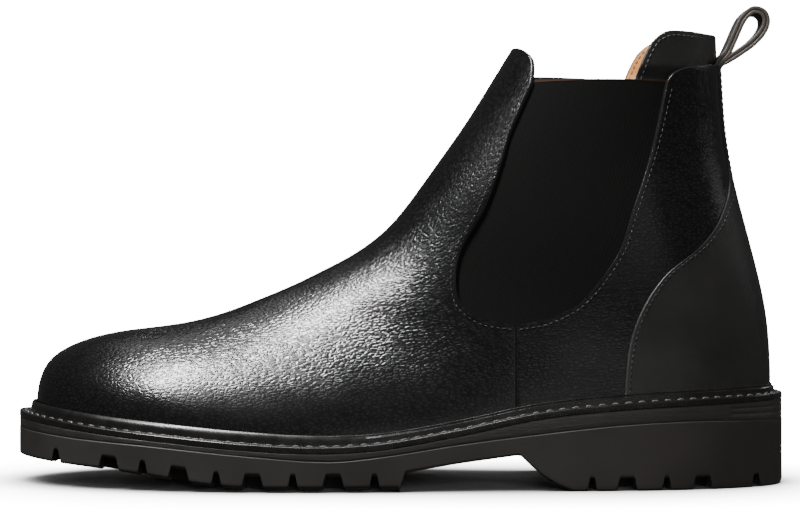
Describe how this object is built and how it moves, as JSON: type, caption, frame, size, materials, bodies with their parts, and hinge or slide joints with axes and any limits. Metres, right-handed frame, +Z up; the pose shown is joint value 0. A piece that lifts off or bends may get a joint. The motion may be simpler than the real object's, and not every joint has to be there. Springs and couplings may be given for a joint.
{
  "type": "chelsea boot",
  "caption": "Left ankle boot with elastic side panels, a rear pull loop, a welted bottom and a one-piece rubber lug sole with heel.",
  "frame": {"origin": "on the floor under the middle of the sole's length and width", "axes": "+X towards the heel, -X towards the toe, -Y towards the outer (lateral) side, +Z up"},
  "size_m": [0.3048, 0.1096, 0.1895],
  "materials": {
    "grain_leather": "pebble grain, semi-gloss",
    "smooth_leather": "fine grain, satin",
    "elastic": "ribbed elastic webbing, matte",
    "loop_strap": "satin",
    "lining_leather": "tan, matte",
    "grip_leather": "tan suede, matte",
    "stiffener_board": "stiffened cloth, matte",
    "insole_leather": "matte",
    "rib_tape": "woven tape, matte",
    "cork": "granular, matte",
    "shank_steel": "brushed",
    "welt_leather": "waxed, semi-gloss",
    "thread": "waxed thread",
    "midsole_leather": "burnished edge, satin",
    "lug_rubber": "moulded, matte"
  },
  "bodies": {
    "boot": {"vamp": "grain_leather", "quarter_lateral": "grain_leather", "quarter_medial": "grain_leather", "heel_counter": "smooth_leather", "heel_tab": "smooth_leather", "gore_lateral": "elastic", "gore_medial": "elastic", "pull_loop_tail": "loop_strap", "vamp_lining": "lining_leather", "quarter_lining_lateral": "lining_leather", "quarter_lining_medial": "lining_leather", "heel_grip": "grip_leather", "toe_puff": "stiffener_board", "heel_stiffener": "stiffener_board", "sock_liner": "lining_leather", "insole_board": "insole_leather", "insole_rib": "rib_tape", "cork_filler": "cork", "shank": "shank_steel", "welt": "welt_leather", "welt_thread": "thread", "midsole": "midsole_leather", "outsole": "lug_rubber"},
    "shaft_front": {"vamp_shaft": "grain_leather", "vamp_shaft_lining": "lining_leather"},
    "loop": {"pull_loop": "loop_strap"}
  },
  "joints": [
    {"name": "shaft_front_bend", "type": "hinge", "parent": "boot", "child": "shaft_front", "pos_m": [0.00675, 0, 0.1145], "axis": [0, -1, 0], "range_deg": [0, 12], "stiffness_Nm_per_rad": 2, "deforming": ["gore_lateral", "gore_medial"]},
    {"name": "pull_loop_bend", "type": "hinge", "parent": "boot", "child": "loop", "pos_m": [0.131, -0.0026, 0.1684], "axis": [0, 1, 0], "range_deg": [-12, 100], "stiffness_Nm_per_rad": 0.02}
  ]
}
